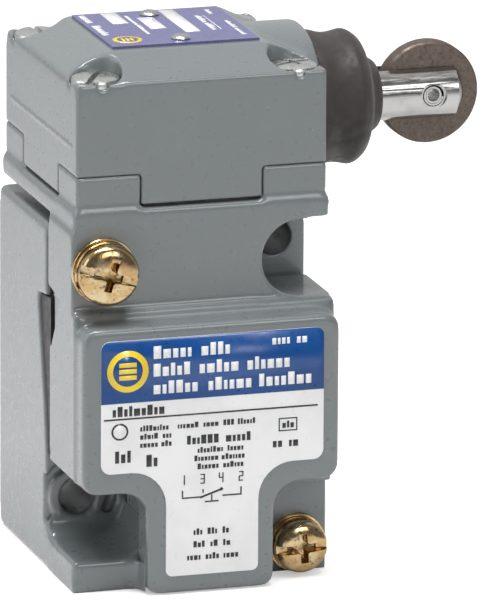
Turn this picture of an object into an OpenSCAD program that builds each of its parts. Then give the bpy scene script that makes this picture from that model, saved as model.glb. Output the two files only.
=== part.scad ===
// Plug-in limit switch with a side push roller plunger.
// Frame: origin at the mouth of the conduit entry, +Z up, +X towards the roller, -Y the front.
// Modules are drawn about the head's centre line and moved onto the entry by on_entry().

/* [Head] */
// Head width and depth
head_w = 40; // [38:0.5:48]
// Height of the joint between head and body
head_z = 65.5; // [64:0.5:68]
// Height of the ledge round the roof
ledge_z = 80; // [79:0.5:84]
// Rise of the roof over the ledge
roof_rise = 3.3; // [2:0.1:4]
// Width of the flat on the roof
roof_flat = 25; // [22:0.5:28]
// Head screw place from the centre
head_screw_xy = 15.8; // [15:0.1:16.4]

/* [Plunger] */
// Height of the plunger's axis
axis_z = 70.8; // [70:0.1:72]
// Plunger diameter
plunger_d = 8.6; // [8:0.1:9.6]
// Reach of the plunger past the hub
plunger_reach = 25.1; // [24:0.1:33]
// Travel of the plunger
travel = 4.8; // [4:0.1:4.8]
// Fall of the push pin for each unit of plunger travel
ramp_slope = 0.5; // [0.4:0.05:0.5]
// Push pin diameter
pin_d = 4; // [3:0.1:4.4]
// Roller diameter
roller_d = 16.2; // [14:0.1:18]
// Roller thickness
roller_t = 3; // [2:0.1:4]
// Roller pin diameter
roller_pin_d = 3.4; // [2.6:0.1:3.8]
// Hub diameter
hub_d = 25; // [23:0.5:25.2]
// Reach of the hub past the head's side
hub_reach = 2.4; // [1.6:0.1:5]

/* [Body] */
// Body width
body_w = 41.8; // [41:0.2:50]
// Rear face of body and receptacle from the head's centre
rear_y = 20.5; // [20:0.5:26]
// Front flat of the switch body from the head's centre
front_y = 20.4; // [20:0.1:24]
// Height of the body's top, where the head gasket lies
collar_z = 60.3; // [60:0.1:61.5]
// Underside of the collar
collar_low = 56.8; // [56:0.1:57.5]
// Lower edge of the switch body's wide part
body_low = 17.7; // [16:0.1:18.5]
// Casting wall
wall = 2.6; // [2:0.1:3]
// Running clearance on the radius
fit = 0.05; // [0.02:0.01:0.09]

/* [Receptacle] */
// Receptacle height
rec_h = 55.2; // [54:0.1:56]
// Plane of the receptacle's flange in front of the head's centre
flange_y = 6.2; // [5.5:0.1:7]
// Thickness of the receptacle gasket
gasket_t = 1; // [0.6:0.1:1.5]
// Radius of the conduit entry wall
entry_r = 10.2; // [9:0.1:10.6]
// Depth of the conduit entry
entry_len = 14; // [12:0.5:15]
// Distance of the entry behind the head's centre
entry_y = 6.8; // [6.5:0.1:8]
// Mounting hole radius
mount_r = 2.9; // [2.3:0.1:3]
// Mounting hole spacing across
mount_x = 31.4; // [31:0.1:32]
// Height of the upper mounting hole
mount_top = 50.6; // [50:0.1:51]
// Height of the lower mounting hole
mount_low = 11.2; // [10.8:0.1:11.6]
// Conduit side block height
block_h = 5; // [4:0.1:6]

/* [Plate] */
// Reach of the pillow plate before the head's centre
plate_y = 26.2; // [25.5:0.1:28]
// Width of the plate's wide part
plate_w = 41.2; // [40:0.2:48]
// Top edge of the plate
plate_top = 43; // [42:0.1:44]
// Lower edge of the plate's wide part
plate_low = 16.5; // [15:0.1:17]
// Reach of the pedestal behind the plate
pedestal_y = 22; // [21:0.1:24]
// Top edge of the pedestal
pedestal_top = 44.4; // [43.5:0.1:44.5]
// Width of the plate's stem
stem_w = 20.4; // [18:0.2:21]
// Label width
label_w = 35.8; // [34:0.2:38]
// Label thickness
label_t = 0.3; // [0.2:0.05:0.4]

/* [Contacts] */
// Height of the upper bridge contact
bridge_hi = 38.4; // [37.5:0.1:39]
// Height of the lower bridge contact
bridge_lo = 32.2; // [31.5:0.1:33]
// Thickness of a bridge contact or a blade
strip_t = 0.8; // [0.6:0.1:1]
// Distance of the blades from the centre plane
blade_x = 10; // [9.5:0.1:10.5]
// Gap left between lower bridge and fixed contact at full travel
gap_left = 0.4; // [0.3:0.1:0.6]
// Distance of the actuating stem before the head's centre
stem_y = 13.5; // [13:0.1:14]
// Diameter of the carrier's stem
stem_d = 4.8; // [4:0.1:5.2]

/* [Hidden] */
$fn = 48;
eps = 0.01;
pin_x = 2;
fall = travel * ramp_slope;
half_w = body_w / 2;
hub_x = head_w / 2 + hub_reach;
plunger_end = hub_x + plunger_reach;
body_rear = -flange_y - gasket_t;
pin_r = pin_d / 2;
plunger_r = plunger_d / 2;
ramp_angle = atan(ramp_slope);
ramp_z = axis_z - 1.5;
pin_ball_z = ramp_z - (pin_r + fit) / cos(ramp_angle);
arm_low = collar_z + fall + 0.6;
arm_t = 1.5;
guide_z = arm_low + arm_t + 0.3;
guide_t = 1.1;
cav_x = head_w / 2 - wall;
cav_arm = 7;
roof_z = ledge_z + roof_rise;
cav_top = ledge_z - 1.5;
rear_wall = rear_y - wall;
ram_x = -6;
spring_x = -cav_x;
block_top = plate_top + 0.4;
block_low = 21;
block_x = 17;
cover_t = 2;
carrier_low = bridge_lo - 2.4;
carrier_top = bridge_hi + 2.6;
well_low = 23;
lug_x = 15.85;
hi_screw_z = 50.9;
lo_screw_x = 16;
lo_screw_z = 4.7;
ear_y = 18;
screw_r = 1.9;
body_hole_r = 2.5;
head_bolt_low = collar_z - 1.9;
head_bore_r = screw_r + fit;
pocket_floor = ledge_z - 1.1;
tab_w = 9.7;
tab_gap = 0.1;
gasket_low = collar_z;
head_gasket_t = 0.4;
tab_low = gasket_low + head_gasket_t;
bush_r = 6.6;
bush_flange_r = 9.2;
bush_in = 12;
bush_out = hub_x + 3.1;
boot_end = hub_x + 11.6;
roller_x = plunger_end - 5;
slot_start = roller_x - roller_d / 2 - 0.9;
ring_x = bush_in - 1.3;
ring_t = 1;
notch_low = 44.6;
notch_r = (collar_low - notch_low) / 2;
notch_z = (collar_low + notch_low) / 2;
notch_x = mount_x / 2;
stem_left = 8.2;
block_gap = 0.15;
cav_low = block_low - 0.6;
cav_top_z = block_top;
neck_x = 8.4;
neck_top = collar_low - 1.9;
body_floor = front_y - wall;
rec_cav_x = 16.4;
rec_cav_low = 18.6;
rec_cav_top = 43;
well_x = entry_r - 0.6;
well_y = entry_r - 0.8;
neck_cav_x = 9.2;
rec_neck_top = rec_h - 3;
slot_d = 2.2;
slot_low = 18.7;
slot_top = 43.9;
nc_z = bridge_hi + strip_t + 0.03;
no_z = bridge_lo - fall - gap_left - strip_t;
contact_spring_h = 2;
block_in_x = 13.2;
block_wall = 1;
block_screw_x = 15.1;
block_screw_z = 31.5;
term_y = 3;
term_t = 5;
term_x = 15.6;
boss_r = 3;
term_low = 20;
term_top = 42.6;
term_screw_z = [24, 38];
plate_h = 5;
socket_h = 3.2;
socket_w = 6.4;
plate_cx = 12.2;
blade_w = 5;
plate_z = [nc_z, no_z];

// ---- helpers ----

// moves what is drawn about the head's centre line onto the entry
module on_entry() translate([0, -entry_y, 0]) children();

// box between two opposite corners
module span(lo, hi) translate(lo) cube(hi - lo);

// cylinder along X
module bar_x(r, x0, x1) translate([x0, 0, axis_z]) rotate([0, 90, 0]) cylinder(r = r, h = x1 - x0);

// cylinder along Y
module bar_y(r, x, z, y0, y1) translate([x, y1, z]) rotate([90, 0, 0]) cylinder(r = r, h = y1 - y0);

// outline in X and Z given depth along Y
module slab_y(y0, y1) translate([0, y1, 0]) rotate([90, 0, 0]) linear_extrude(y1 - y0) children();

// outline in Y and Z given width along X
module slab_x(x0, x1) translate([x0, 0, 0]) rotate([90, 0, 90]) linear_extrude(x1 - x0) children();

// flat rectangle from corner to corner
module area(lo, hi) translate(lo) square(hi - lo);

// rectangle with round corners
module soft_area(lo, hi, r) {
  area([lo.x + r, lo.y], [hi.x - r, hi.y]);
  area([lo.x, lo.y + r], [hi.x, hi.y - r]);
  for (x = [lo.x + r, hi.x - r])
    for (z = [lo.y + r, hi.y - r])
      translate([x, z])
        circle(r);
}

// helical spring standing on the origin
module coil(r, wire, h, turns) {
  sides = 6;
  steps = turns * 14;
  rise = h - 2 * wire;
  points = [for (i = [0:steps]) for (j = [0:sides - 1])
    let (a = i * 360 * turns / steps, b = j * 360 / sides, q = r + wire * cos(b))
      [q * cos(a), q * sin(a), wire + rise * i / steps + wire * sin(b)]];
  skin = [for (i = [0:steps - 1]) for (j = [0:sides - 1])
    let (k = (j + 1) % sides)
      [i * sides + j, i * sides + k, (i + 1) * sides + k, (i + 1) * sides + j]];
  first = [for (j = [sides - 1:-1:0]) j];
  last = [for (j = [0:sides - 1]) steps * sides + j];
  polyhedron(points = points, faces = concat([first], skin, [last]));
}

// cross-shaped block between two heights
module cross(a, b, z0, z1) {
  span([-a, -b, z0], [a, b, z1]);
  span([-b, -a, z0], [b, a, z1]);
}

// places its child at the four head screws
module at_head_screws() {
  for (x = [-head_screw_xy, head_screw_xy])
    for (y = [-head_screw_xy, head_screw_xy])
      translate([x, y, 0])
        children();
}

// ---- head ----

module hip_roof() {
  out = head_w / 2;
  in = roof_flat / 2;
  shape = [[-out, ledge_z - 1], [out, ledge_z - 1], [out, ledge_z], [in, roof_z], [-in, roof_z],
           [-out, ledge_z]];
  intersection() {
    slab_y(-out, out) polygon(shape);
    slab_x(-out, out) polygon(shape);
  }
}

module hub() {
  clear_x = half_w + 0.3;
  r = hub_d / 2;
  soft = 1.2;
  start = roof_flat / 2 + 0.2;
  len = hub_x - start;
  intersection() {
    translate([start, 0, axis_z]) rotate([0, 90, 0])
      rotate_extrude()
        polygon([[0, 0], [r, 0], [r, len - soft], [r - soft, len], [0, len]]);
    union() {
      span([0, -head_w, head_z], [hub_x + 1, head_w, roof_z + 1]);
      span([clear_x, -head_w, collar_z - 5], [hub_x + 1, head_w, head_z]);
      span([0, -tab_w, tab_low], [hub_x + 1, tab_w, head_z]);
    }
  }
}

module head_housing() color("#7c8586") on_entry() {
  out = head_w / 2;
  difference() {
    union() {
      span([-out, -out, head_z], [out, out, ledge_z]);
      hip_roof();
      hub();
      cross(tab_w, out, tab_low, head_z + eps);
    }
    cross(cav_arm, cav_x, tab_low - 1, cav_top);
    bar_x(bush_r, cav_x - 1, hub_x + 1);
    at_head_screws() translate([0, 0, tab_low]) cylinder(r = head_bore_r, h = roof_z);
    at_head_screws() translate([0, 0, pocket_floor]) cylinder(r = 4, h = roof_z);
    for (y = [-8.5, 8.5])
      translate([0, y, roof_z - 3])
        cylinder(r = 0.8, h = 4);
  }
}

module head_gasket() color("#26241f") on_entry() difference() {
  cross(tab_w - 0.5, head_w / 2 - 0.6, gasket_low, tab_low);
  cross(cav_arm + 0.2, cav_x + 0.2, gasket_low - 1, tab_low + 1);
}

module head_screws() color("#b9a77c") on_entry() at_head_screws() difference() {
  union() {
    translate([0, 0, pocket_floor]) cylinder(r = 3.85, h = 1.7);
    translate([0, 0, head_bolt_low]) cylinder(r = screw_r, h = pocket_floor - head_bolt_low + eps);
  }
  translate([0, 0, pocket_floor + 1.3]) rotate([0, 0, 60]) cube([9, 1, 1], center = true);
}

module nameplate() color("#6c6b9c") on_entry() difference() {
  span([-11.75, -11.35, roof_z], [11.75, 11.35, roof_z + 0.4]);
  for (y = [-8.5, 8.5])
    translate([0, y, roof_z - 1])
      cylinder(r = 0.8, h = 3);
}

module nameplate_pins() color("#c9c9c4") on_entry() for (y = [-8.5, 8.5]) translate([0, y, 0]) {
  translate([0, 0, roof_z - 2.8]) cylinder(r = 0.78, h = 3.2 + eps);
  translate([0, 0, roof_z + 0.4]) cylinder(r1 = 1.55, r2 = 0.9, h = 0.8);
}

// ---- plunger ----

module plunger_bushing() color("#8d7a4e") on_entry() difference() {
  union() {
    bar_x(bush_r, bush_in, hub_x + eps);
    bar_x(bush_flange_r, hub_x, bush_out);
  }
  bar_x(plunger_r + fit, bush_in - 1, bush_out + 1);
}

module plunger() color("#b4b5b3") on_entry() {
  low = axis_z - plunger_r - 1;
  ramp_end = pin_x + (ramp_z - low) / ramp_slope;
  difference() {
    union() {
      bar_x(plunger_r, ram_x, plunger_end - 1 + eps);
      translate([plunger_end - 1, 0, axis_z]) rotate([0, 90, 0])
        cylinder(r1 = plunger_r, r2 = plunger_r - 1, h = 1);
    }
    slab_y(-plunger_r - 1, plunger_r + 1)
      polygon([[ram_x - 1, low], [ram_x - 1, ramp_z], [pin_x, ramp_z], [ramp_end, low]]);
    span([slot_start, -roller_t / 2 - 0.2, axis_z - 6], [plunger_end + 1, roller_t / 2 + 0.2, axis_z + 6]);
    bar_y(roller_pin_d / 2, roller_x, axis_z, -6, 6);
    for (side = [-1, 1])
      bar_y(2.15, roller_x, axis_z, side * 5 - 1.2, side * 5 + 1.2);
    difference() {
      bar_x(plunger_r + 1, ring_x, ring_x + ring_t);
      bar_x(plunger_r - 0.7, ring_x - 1, ring_x + ring_t + 1);
    }
  }
  bar_x(2, ram_x - 4, ram_x + 1);
}

module retaining_ring() color("#6f6d69") on_entry() difference() {
  bar_x(plunger_r + 1.2, ring_x, ring_x + ring_t);
  bar_x(plunger_r - 0.7, ring_x - 1, ring_x + ring_t + 1);
  span([ring_x - 1, -1.2, axis_z], [ring_x + ring_t + 1, 1.2, axis_z + 9]);
}

module plunger_boot() color("#2b2522") on_entry() {
  lip_r = plunger_r + fit;
  translate([hub_x, 0, axis_z]) rotate([0, 90, 0]) rotate_extrude()
    polygon([[bush_flange_r, 0], [10.8, 0], [10.2, 3.6], [10.6, 6.6], [9.2, 8.6], [6.8, 9.4],
             [5.4, boot_end - hub_x], [lip_r, boot_end - hub_x], [lip_r, 10.2], [6, 8], [8, 7],
             [bush_flange_r, 5.6]]);
}

module plunger_spring() color("#a9a9a6") on_entry()
  translate([spring_x, 0, axis_z]) rotate([0, 90, 0]) coil(3.1, 0.4, ram_x - spring_x, 6);

module roller() color("#6a5c55") on_entry() difference() {
  bar_y(roller_d / 2, roller_x, axis_z, -roller_t / 2, roller_t / 2);
  bar_y(roller_pin_d / 2 + fit, roller_x, axis_z, -roller_t, roller_t);
}

module roller_pin() color("#8f8d88") on_entry() difference() {
  bar_y(roller_pin_d / 2, roller_x, axis_z, -3.8, 3.8);
  bar_y(1, roller_x, axis_z, -5, 5);
}

module push_pin_lifter() color("#9a9a97") on_entry() {
  translate([pin_x, 0, arm_low]) cylinder(r = pin_r, h = pin_ball_z - arm_low);
  translate([pin_x, 0, pin_ball_z]) sphere(r = pin_r);
  span([-2.6, -stem_y - 2.6, arm_low], [pin_x + 2.6, pin_r + 0.4, arm_low + arm_t]);
}

module pin_guide() color("#a8a59b") on_entry() difference() {
  span([-10, -cav_arm, guide_z], [pin_x + pin_r + 1.2, cav_arm, guide_z + guide_t]);
  translate([pin_x, 0, guide_z - 1]) cylinder(r = pin_r + fit, h = guide_t + 2);
}

// ---- switch body ----

module plate_outline() {
  w = plate_w / 2;
  s = stem_w / 2;
  shoulder = 4;
  difference() {
    union() {
      soft_area([-w, plate_low], [w, plate_top], 2.4);
      soft_area([-s, 0.1], [s, plate_low + 5], 1.8);
      area([-s - shoulder, plate_low - shoulder], [s + shoulder, plate_low + 3]);
    }
    for (side = [-1, 1])
      translate([side * (s + shoulder), plate_low - shoulder])
        circle(r = shoulder);
  }
}

module body_outline() {
  area([-half_w, body_low], [half_w, collar_low + eps]);
  area([-stem_left, 0], [half_w, body_low + 1]);
}

module notch_outline() {
  translate([notch_x, notch_z]) circle(r = notch_r);
  area([notch_x, notch_low], [half_w + 1, collar_low]);
}

module switch_body() color("#747c7d") on_entry() {
  depth = body_rear;
  difference() {
    union() {
      slab_y(-front_y, depth) body_outline();
      slab_y(-plate_y + label_t, -front_y + eps) plate_outline();
      slab_y(-pedestal_y, -front_y + eps) area([-half_w, body_low], [half_w, pedestal_top]);
      span([-half_w + 0.4, -front_y, collar_low], [half_w - 0.4, rear_y, collar_z]);
      for (turn = [0:90:270])
        rotate(turn)
          span([tab_w + tab_gap, tab_w + tab_gap, collar_z - eps], [head_w / 2, head_w / 2, head_z]);
    }
    slab_y(-front_y - 1, depth + 1) notch_outline();
    span([-block_x - 0.2, -body_floor, cav_low], [block_x + 0.2, depth + 1, cav_top_z]);
    span([-block_x - 0.2, -plate_y + wall + 0.4, cav_low],
         [block_x + 0.2, -body_floor + eps, plate_top - wall]);
    span([-neck_x, -body_floor, cav_top_z - eps], [neck_x, depth + 1, neck_top]);
    span([stem_w / 2 + 0.4, -front_y - 0.05, -1], [half_w + 1, -ear_y, plate_low - 1.7]);
    bar_y(body_hole_r, -lug_x, hi_screw_z, -front_y - 1, depth + 1);
    bar_y(body_hole_r, lo_screw_x, lo_screw_z, -front_y - 1, depth + 1);
    translate([0, -stem_y, neck_top - 1]) cylinder(r = 3.8, h = 9);
    at_head_screws() translate([0, 0, head_bolt_low]) cylinder(r = screw_r + eps, h = 9);
    for (side = [-1, 1])
      bar_y(1.2, side * block_screw_x, block_screw_z, -body_floor - 3, -body_floor + 1);
    span([-half_w - 1, depth - 0.8, slot_low], [-half_w + slot_d, depth + 1, slot_top]);
    slab_x(-half_w - 1, -half_w + 0.8)
      polygon([[-13.7, 44.6], [depth + 0.1, 45.8], [depth + 0.1, 36.4], [depth - 1.4, 36.4]]);
  }
}

module actuator_bushing() color("#d8d2c0") on_entry() translate([0, -stem_y, 0]) difference() {
  translate([0, 0, neck_top]) cylinder(r = 3.8, h = collar_z - neck_top);
  translate([0, 0, neck_top - 1]) cylinder(r = stem_d / 2 + fit, h = 9);
}

module front_label() color("#3d5da8") on_entry() slab_y(-plate_y, -plate_y + label_t) {
  w = label_w / 2;
  s = 7.4;
  shoulder = 5.6;
  low = 20;
  difference() {
    union() {
      soft_area([-w, low], [w, plate_top - 1.9], 1.5);
      soft_area([-s, 3], [s, low + 4], 1);
      area([-s - shoulder, low - shoulder], [s + shoulder, low + 3]);
    }
    for (side = [-1, 1])
      translate([side * (s + shoulder), low - shoulder])
        circle(r = shoulder);
  }
}

// ---- captive screws ----

// each: place x, height, face, washer radius, head radius
CAPTIVE = [[-lug_x, hi_screw_z, front_y, 5.15, 4.75], [lo_screw_x, lo_screw_z, ear_y, 4.65, 4.1]];
washer_t = 0.8;
lock_t = 1.1;
cap_h = 2.9;

module captive_screws() color("#c3ab66") on_entry() for (c = CAPTIVE) {
  seat = -c[2] - washer_t - lock_t;
  difference() {
    bar_y(c[4], c[0], c[1], seat - cap_h, seat);
    translate([c[0], seat - cap_h, c[1]]) rotate([0, 18, 0]) cube([12, 2.4, 1.2], center = true);
    translate([c[0], seat - cap_h, c[1]]) rotate([0, 18, 0]) cube([1.2, 3.6, 5], center = true);
  }
  bar_y(1.85, c[0], c[1], seat - eps, 3);
}

module lock_washers() color("#b59c58") on_entry() for (c = CAPTIVE) difference() {
  bar_y(c[4] + 0.2, c[0], c[1], -c[2] - washer_t - lock_t, -c[2] - washer_t);
  bar_y(2, c[0], c[1], -c[2] - 5, -c[2]);
  translate([c[0] + 4, -c[2] - washer_t - lock_t / 2, c[1]]) cube([6, 4, 0.8], center = true);
}

module flat_washers() color("#bba460") on_entry() for (c = CAPTIVE) difference() {
  bar_y(c[3], c[0], c[1], -c[2] - washer_t, -c[2]);
  bar_y(2, c[0], c[1], -c[2] - 3, -c[2] + 1);
}

// ---- contacts ----

module contact_block() color("#2c3a33") on_entry() {
  back = body_rear - cover_t - 1;
  front = -body_floor + 0.1;
  difference() {
    span([-block_x, front, block_low], [block_x, back, block_top - 0.2]);
    span([-block_in_x, front + block_wall, well_low], [block_in_x, back + 1, block_top - 1]);
    translate([0, -stem_y, block_top - 2]) cylinder(r = stem_d / 2 + 0.4, h = 3);
    for (side = [-1, 1])
      bar_y(1.25, side * block_screw_x, block_screw_z, -front_y, 0);
  }
}

module contact_block_cover() color("#3a3f3c") on_entry() {
  back = body_rear - 1;
  difference() {
    span([-block_x, back - cover_t, block_low], [block_x, back, block_top - 0.2]);
    for (x = [-blade_x, blade_x])
      for (z = plate_z)
        span([x - blade_w / 2, back - 5, z], [x + blade_w / 2, back + 1, z + strip_t]);
    for (side = [-1, 1])
      bar_y(1.25, side * block_screw_x, block_screw_z, -front_y, 0);
  }
}

module block_screws() color("#a9a9a4") on_entry() for (side = [-1, 1]) difference() {
  union() {
    bar_y(1.15, side * block_screw_x, block_screw_z, -body_floor - 2, body_rear - 1 + eps);
    bar_y(1.8, side * block_screw_x, block_screw_z, body_rear - 1, body_rear - 0.2);
  }
  span([side * block_screw_x - 3, body_rear - 0.6, block_screw_z - 0.3],
       [side * block_screw_x + 3, body_rear + 1, block_screw_z + 0.3]);
}

module blade_contacts() color("#b9914c") on_entry() for (x = [-blade_x, blade_x])
  for (z = plate_z)
    span([x - blade_w / 2, -stem_y - 2, z], [x + blade_w / 2, 1, z + strip_t]);

module contact_carrier() color("#e4e0d2") on_entry() translate([0, -stem_y, 0]) {
  difference() {
    span([-4.5, -2.5, carrier_low], [4.5, 2.5, carrier_top]);
    span([-5, -1.7, bridge_hi - contact_spring_h], [5, 1.7, bridge_hi + strip_t]);
    span([-5, -1.7, bridge_lo], [5, 1.7, bridge_lo + strip_t + contact_spring_h]);
  }
  translate([0, 0, carrier_top - eps]) cylinder(r = stem_d / 2, h = arm_low - carrier_top + eps);
}

module bridge_contacts() color("#c79a52") on_entry() for (z = [bridge_hi, bridge_lo])
  span([-blade_x - 0.8, -stem_y - 1.5, z], [blade_x + 0.8, -stem_y + 1.5, z + strip_t]);

module contact_springs() color("#a9a9a6") on_entry()
  for (z = [bridge_hi - contact_spring_h, bridge_lo + strip_t])
    translate([0, -stem_y, z])
      coil(1.1, 0.2, contact_spring_h, 3);

module return_spring() color("#a9a9a6") on_entry()
  translate([0, -stem_y, well_low]) coil(1.9, 0.3, carrier_low - well_low, 4);

// ---- receptacle ----

module receptacle_outline() {
  soft_area([-half_w, 0], [half_w, rec_h], 1);
}

module receptacle() color("#6f7778") on_entry() difference() {
  union() {
    slab_y(-flange_y, rear_y) receptacle_outline();
    span([-half_w, -front_y - 0.8, 0], [-stem_w / 2 - block_gap, -flange_y + eps, block_h]);
    span([-half_w, -front_y + block_gap, 0], [-stem_left - block_gap, -flange_y + eps, block_h]);
    for (z = term_screw_z)
      bar_y(boss_r, 0, z, term_y + term_t, rear_wall + eps);
  }
  difference() {
    union() {
      span([-rec_cav_x, -flange_y - 1, rec_cav_low], [rec_cav_x, rear_wall, rec_cav_top]);
      span([-neck_cav_x, -flange_y - 1, rec_cav_top - eps], [neck_cav_x, rear_wall, rec_neck_top]);
    }
    for (z = term_screw_z)
      bar_y(boss_r, 0, z, term_y + term_t, rear_y);
  }
  translate([0, entry_y, -1]) cylinder(r = entry_r, h = entry_len + 1);
  span([-well_x, entry_y - well_y, entry_len], [well_x, entry_y + well_y, rec_cav_low + 1]);
  bar_y(mount_r, mount_x / 2, mount_top, -flange_y - 1, rear_y + 1);
  bar_y(mount_r, -mount_x / 2, mount_low, -flange_y - 1, rear_y + 1);
  bar_y(screw_r, -lug_x, hi_screw_z, -flange_y - 1, 5);
  bar_y(screw_r, lo_screw_x, lo_screw_z, -flange_y - 1, 5);
  difference() {
    bar_y(6.3, -mount_x / 2, mount_low, -flange_y - 1, -flange_y + 1.2);
    bar_y(4.6, -mount_x / 2, mount_low, -flange_y - 2, -flange_y + 2);
  }
  for (z = term_screw_z)
    bar_y(1.4, 0, z, term_y + term_t - 1, term_y + term_t + 5);
  bar_y(1.6, 0, rec_cav_top + 4.6, rear_wall - 1, rear_wall + 1.6);
  slab_x(-half_w - 1, -half_w + slot_d)
    polygon([[-flange_y - 1, slot_low], [-flange_y, slot_low], [-5, 26.8], [-1.7, 42], [-1.7, 43.2],
             [-flange_y - 1, slot_top]]);
}

module receptacle_gasket() color("#1e1d1b") on_entry() {
  slab_y(-flange_y - gasket_t, -flange_y) gasket_outline();
  slab_y(-flange_y - gasket_t, -flange_y)
    area([-half_w + 0.5, slot_low + 0.5], [-half_w + slot_d + 0.2, slot_top - 0.4]);
  slab_x(-half_w + 0.5, -half_w + slot_d - 0.1)
    polygon([[-flange_y - gasket_t, slot_low + 0.5], [-flange_y + eps, slot_low + 0.5], [-5.1, 26.8],
             [-1.9, 41.8], [-1.9, 43], [-flange_y - gasket_t, slot_top - 0.4]]);
}

module gasket_outline() difference() {
  union() {
    area([-half_w + slot_d + 0.1, body_low + 0.4], [half_w - 0.4, notch_low - 0.4]);
    area([-half_w + 0.4, notch_low - 0.4], [notch_x - notch_r - 0.5, rec_h - 0.4]);
    area([-stem_left + 0.4, 0.4], [half_w - 0.4, body_low + 1]);
  }
  area([-15.2, cav_low + 0.3], [15.2, rec_cav_top - 0.4]);
  area([-neck_x + 0.4, rec_cav_top - 1], [neck_x - 0.4, rec_neck_top]);
  translate([-lug_x, hi_screw_z]) circle(r = body_hole_r);
  translate([lo_screw_x, lo_screw_z]) circle(r = body_hole_r);
}

module terminal_block() color("#33302c") on_entry() difference() {
  span([-term_x, term_y, term_low], [term_x, term_y + term_t, term_top]);
  for (z = term_screw_z)
    bar_y(1.45, 0, z, 0, 20);
  for (x = [-plate_cx, plate_cx])
    for (z = plate_z)
      bar_y(1.25, x, z + strip_t / 2 - socket_h / 2 - plate_h / 2, term_y - 1, term_y + 4.7);
}

module terminal_block_screws() color("#a9a9a4") on_entry() for (z = term_screw_z) difference() {
  union() {
    bar_y(1.35, 0, z, term_y - eps, term_y + term_t + 4.5);
    bar_y(2.6, 0, z, term_y - 1.6, term_y);
  }
  span([-3, term_y - 2, z - 0.4], [3, term_y - 0.8, z + 0.4]);
}

module contact_sockets() color("#b9914c") on_entry() for (x = [-blade_x, blade_x])
  for (z = plate_z)
    translate([x, 0, z + strip_t / 2])
      difference() {
        span([-socket_w / 2, -2.5, -socket_h / 2], [socket_w / 2, term_y, socket_h / 2]);
        span([-socket_w, -3, -strip_t / 2 - fit], [socket_w, 1.6, strip_t / 2 + fit]);
      }

module at_terminals() {
  for (x = [-plate_cx, plate_cx])
    for (z = plate_z)
      translate([x, term_y, z + strip_t / 2 - socket_h / 2 - plate_h / 2])
        children();
}

module terminal_plates() color("#c09a58") on_entry() at_terminals() difference() {
  span([-3, -1, -plate_h / 2], [3, 0, plate_h / 2]);
  rotate([90, 0, 0]) cylinder(r = 1.25, h = 4, center = true);
}

module terminal_screws() color("#b8b8b2") on_entry() at_terminals() difference() {
  union() {
    rotate([-90, 0, 0]) translate([0, 0, -1 - eps]) cylinder(r = 1.2, h = 5.5);
    rotate([90, 0, 0]) translate([0, 0, 1]) cylinder(r = 2.3, h = 1.4);
  }
  span([-3, -3, -0.35], [3, -1.9, 0.35]);
}

module ground_screw() color("#4f8a52") on_entry()
  translate([0, rear_wall, rec_cav_top + 4.6]) rotate([90, 0, 0]) {
    cylinder(r = 3.2, h = 2, $fn = 6);
    translate([0, 0, -1.5]) cylinder(r = 1.55, h = 1.5 + eps);
  }

receptacle();
receptacle_gasket();
terminal_block();
terminal_block_screws();
contact_sockets();
terminal_plates();
terminal_screws();
ground_screw();
switch_body();
front_label();
captive_screws();
lock_washers();
flat_washers();
contact_block();
contact_block_cover();
block_screws();
blade_contacts();
contact_carrier();
bridge_contacts();
contact_springs();
return_spring();
actuator_bushing();
head_housing();
head_gasket();
head_screws();
nameplate();
nameplate_pins();
plunger_bushing();
plunger();
retaining_ring();
plunger_boot();
plunger_spring();
roller();
roller_pin();
push_pin_lifter();
pin_guide();
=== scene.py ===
"""Looks of the limit switch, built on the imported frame. Pieces are drawn in millimetres about the
head's centre line and moved into the frame by place()."""
import math

import bmesh
import bpy
import numpy as np
from mathutils import Matrix, Vector


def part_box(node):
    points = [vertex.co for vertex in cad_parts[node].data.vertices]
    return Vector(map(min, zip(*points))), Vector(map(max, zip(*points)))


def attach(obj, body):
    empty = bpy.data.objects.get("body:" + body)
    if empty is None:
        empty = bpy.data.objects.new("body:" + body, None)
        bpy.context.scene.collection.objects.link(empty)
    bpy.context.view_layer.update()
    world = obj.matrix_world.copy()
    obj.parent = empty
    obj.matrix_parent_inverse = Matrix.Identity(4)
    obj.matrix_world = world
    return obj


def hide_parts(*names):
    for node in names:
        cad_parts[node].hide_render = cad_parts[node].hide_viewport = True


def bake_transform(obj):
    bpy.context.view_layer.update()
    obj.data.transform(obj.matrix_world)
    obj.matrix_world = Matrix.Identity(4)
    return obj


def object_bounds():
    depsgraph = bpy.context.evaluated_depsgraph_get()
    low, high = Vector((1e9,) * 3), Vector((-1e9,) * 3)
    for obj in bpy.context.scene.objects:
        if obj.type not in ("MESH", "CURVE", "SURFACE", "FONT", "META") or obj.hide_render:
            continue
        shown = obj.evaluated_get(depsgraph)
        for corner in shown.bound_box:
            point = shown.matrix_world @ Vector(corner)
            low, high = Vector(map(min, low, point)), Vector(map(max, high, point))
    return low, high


MM = 0.001
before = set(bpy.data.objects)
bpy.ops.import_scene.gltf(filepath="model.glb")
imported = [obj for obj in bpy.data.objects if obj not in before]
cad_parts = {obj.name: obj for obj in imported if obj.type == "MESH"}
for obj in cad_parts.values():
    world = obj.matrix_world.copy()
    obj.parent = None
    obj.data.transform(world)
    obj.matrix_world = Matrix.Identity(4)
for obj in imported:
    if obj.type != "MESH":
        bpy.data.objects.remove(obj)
cad_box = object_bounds()
scene = bpy.context.scene

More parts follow.
